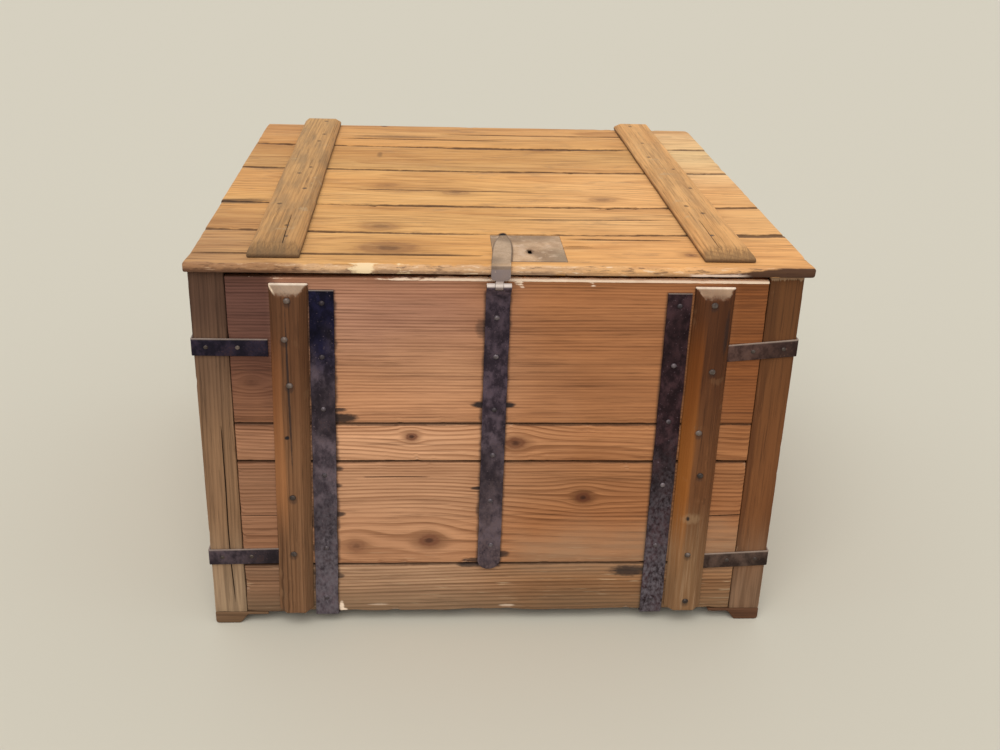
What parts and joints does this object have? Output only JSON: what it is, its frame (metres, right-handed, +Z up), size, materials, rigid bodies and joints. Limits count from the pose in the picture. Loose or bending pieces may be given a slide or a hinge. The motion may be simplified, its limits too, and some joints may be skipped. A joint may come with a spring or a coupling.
{
  "type": "grain chest",
  "caption": "Large nearly square boarded pine grain chest with iron straps, chamfered battens, a boarded hinged lid, and a hasp that folds over the lid's edge onto an inlaid lid lock.",
  "frame": {"origin": "on the floor, in the middle of the chest's overall box", "axes": "+Z up, -Y towards the front with the hasp, +X to the right seen from the front"},
  "size_m": [1.066, 1.113, 0.7486],
  "materials": {
    "front_pine": "old red-brown pine, rubbed, with dark seams and iron stains",
    "lid_pine": "honey-coloured worn pine, waxed",
    "inner_pine": "bare sawn pine",
    "post_wood": "grey-brown weathered wood",
    "batten_wood": "dark brown wood, rubbed through to orange on the edges",
    "strap_iron": "forged iron, purplish black and worn",
    "hasp_steel": "worn dull steel, grey-tan",
    "pin_iron": "forged iron, worn"
  },
  "bodies": {
    "carcase": {"post_front_left": "post_wood", "post_front_right": "post_wood", "post_back_left": "post_wood", "post_back_right": "post_wood", "front_board_1": "front_pine", "front_board_2": "front_pine", "front_board_3": "front_pine", "front_board_4": "front_pine", "back_board_1": "front_pine", "back_board_2": "front_pine", "back_board_3": "front_pine", "left_board_1": "front_pine", "left_board_2": "front_pine", "left_board_3": "front_pine", "right_board_1": "front_pine", "right_board_2": "front_pine", "right_board_3": "front_pine", "floor_bearer_left": "inner_pine", "floor_bearer_centre": "inner_pine", "floor_bearer_right": "inner_pine", "floor_board_1": "inner_pine", "floor_board_2": "inner_pine", "floor_board_3": "inner_pine", "floor_board_4": "inner_pine", "foot_front_left": "post_wood", "foot_front_right": "post_wood", "foot_back_left": "post_wood", "foot_back_right": "post_wood", "front_batten_left": "batten_wood", "front_batten_right": "batten_wood", "front_strap_left": "strap_iron", "front_strap_right": "strap_iron", "centre_strap": "strap_iron", "side_band_left_lower": "strap_iron", "side_band_left_upper": "strap_iron", "side_band_right_lower": "strap_iron", "side_band_right_upper": "strap_iron", "hinge_strap_left": "strap_iron", "hinge_strap_right": "strap_iron", "hinge_pin_left": "pin_iron", "hinge_pin_right": "pin_iron", "hasp_pin": "pin_iron"},
    "lid": {"hinge_leaf_left": "strap_iron", "hinge_leaf_right": "strap_iron", "lid_plank_1": "lid_pine", "lid_plank_2": "lid_pine", "lid_plank_3": "lid_pine", "lid_plank_4": "lid_pine", "lid_plank_5": "lid_pine", "lid_batten_left": "batten_wood", "lid_batten_right": "batten_wood", "lock_plate": "hasp_steel", "lock_case": "strap_iron", "bolt_keeper": "strap_iron", "lock_spring": "strap_iron"},
    "lock_bolt": {"lock_bolt": "hasp_steel"},
    "hasp": {"hasp": "hasp_steel", "hasp_staple": "hasp_steel"}
  },
  "joints": [
    {"name": "lid_hinge", "type": "hinge", "parent": "carcase", "child": "lid", "pos_m": [0, 0.5493, 0.7035], "axis": [-1, 0, 0], "range_deg": [0, 110]},
    {"name": "hasp_hinge", "type": "hinge", "parent": "carcase", "child": "hasp", "pos_m": [-0.0035, -0.5505, 0.6933], "axis": [1, 0, 0], "range_deg": [0, 180]},
    {"name": "bolt_slide", "type": "slide", "parent": "lid", "child": "lock_bolt", "axis": [-1, 0, 0], "range_m": [0, 0.0135]}
  ]
}
